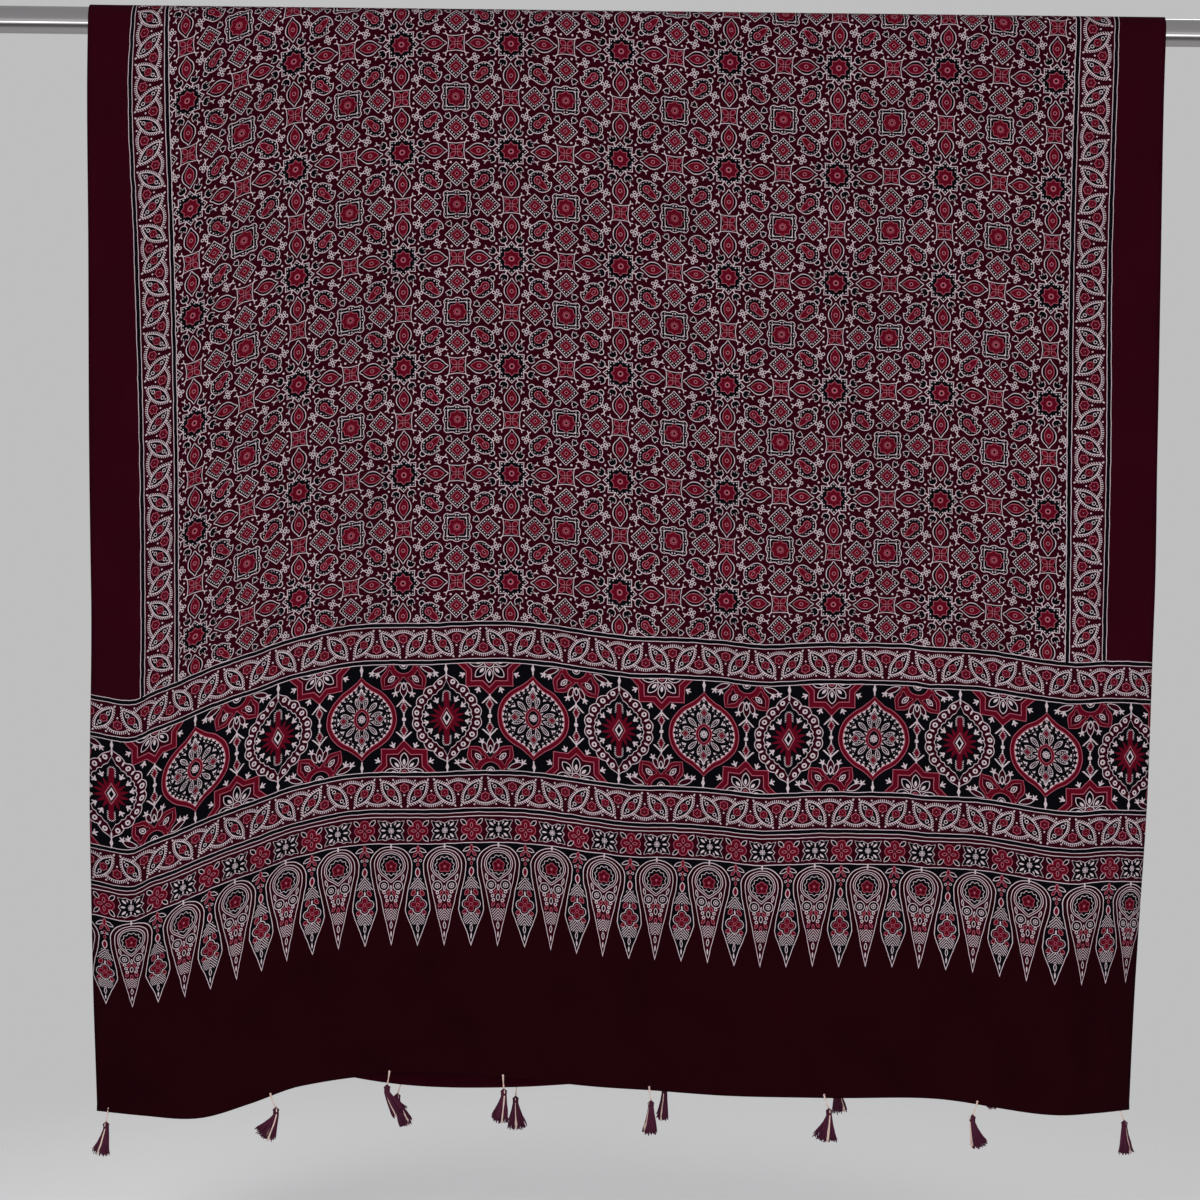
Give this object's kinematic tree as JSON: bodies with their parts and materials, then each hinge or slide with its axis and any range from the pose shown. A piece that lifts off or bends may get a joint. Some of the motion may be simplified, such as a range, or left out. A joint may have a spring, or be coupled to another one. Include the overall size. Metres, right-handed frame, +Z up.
{
  "type": "ajrakh cloth over a rod",
  "caption": "Block-printed ajrakh cloth with a field of star, almond and paisley motifs, wide end borders and yarn tassels, hung in half over a plain polished round rod.",
  "frame": {"origin": "middle of the rod's axis", "axes": "+X along the rod to the viewer's right, +Y from the front panel to the back panel, +Z up"},
  "size_m": [1.3, 0.0718, 1.1808],
  "materials": {
    "printed_cloth": "matt block-printed cotton, maroon ground with black, red and pale resist motifs",
    "rod_steel": "polished steel tube with fine drawn lines",
    "tassel_yarn": "matt twisted yarn, plum with a few cream strands"
  },
  "bodies": {
    "root": {"rod": "rod_steel", "cloth": "printed_cloth", "tassel_front_1": "tassel_yarn", "tassel_front_2": "tassel_yarn", "tassel_front_3": "tassel_yarn", "tassel_front_4": "tassel_yarn", "tassel_front_5": "tassel_yarn", "tassel_front_6": "tassel_yarn", "tassel_front_7": "tassel_yarn", "tassel_front_8": "tassel_yarn", "tassel_back_1": "tassel_yarn", "tassel_back_2": "tassel_yarn", "tassel_back_3": "tassel_yarn", "tassel_back_4": "tassel_yarn", "tassel_back_5": "tassel_yarn", "tassel_back_6": "tassel_yarn", "tassel_back_7": "tassel_yarn", "tassel_back_8": "tassel_yarn"}
  },
  "joints": []
}
